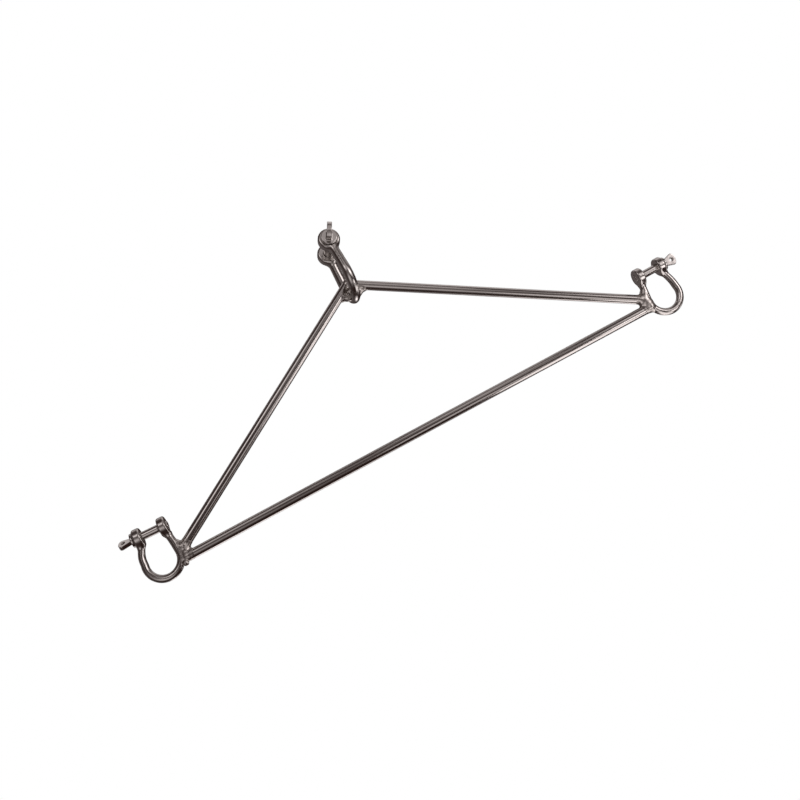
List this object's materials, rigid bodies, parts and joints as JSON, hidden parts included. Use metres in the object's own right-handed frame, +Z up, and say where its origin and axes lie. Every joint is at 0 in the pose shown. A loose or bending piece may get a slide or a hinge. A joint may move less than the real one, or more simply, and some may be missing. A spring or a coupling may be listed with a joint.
{
  "type": "spreader beam",
  "caption": "Welded triangular lifting spreader of round stainless bar, with a screw-pin bow shackle welded into the apex and into each lower corner.",
  "frame": {"origin": "centre of the hoist shackle's pin, on its axis, where the beam hangs", "axes": "+X along the base bar to the right, +Z up from the base bar to the hoist shackle, +Y away from the hoist pin's head"},
  "size_m": [0.7778, 0.0843, 0.3003],
  "materials": {
    "bar_steel": "polished",
    "bow_steel": "satin, forged and tumbled",
    "pin_steel": "turned and polished",
    "weld_steel": "weld metal with a light heat tint"
  },
  "bodies": {
    "frame": {"base_bar": "bar_steel", "left_side_bar": "bar_steel", "right_side_bar": "bar_steel", "hoist_shackle_bow": "bow_steel", "left_shackle_bow": "bow_steel", "right_shackle_bow": "bow_steel", "left_side_weld": "weld_steel", "left_base_weld": "weld_steel", "right_side_weld": "weld_steel", "right_base_weld": "weld_steel", "hoist_left_weld": "weld_steel", "hoist_right_weld": "weld_steel", "apex_weld": "weld_steel"},
    "hoist_pin": {"hoist_shackle_pin": "pin_steel"},
    "left_pin": {"left_shackle_pin": "pin_steel"},
    "right_pin": {"right_shackle_pin": "pin_steel"}
  },
  "joints": [
    {"name": "hoist_pin_slide", "type": "slide", "parent": "frame", "child": "hoist_pin", "axis": [0.0766, -0.9959, 0.0489], "range_m": [0, 0.0422]},
    {"name": "left_pin_slide", "type": "slide", "parent": "frame", "child": "left_pin", "axis": [-0.9974, 0.0488, 0.0523], "range_m": [0, 0.0326]},
    {"name": "right_pin_slide", "type": "slide", "parent": "frame", "child": "right_pin", "axis": [0.9999, -0.0006, 0.0122], "range_m": [0, 0.0326]}
  ]
}
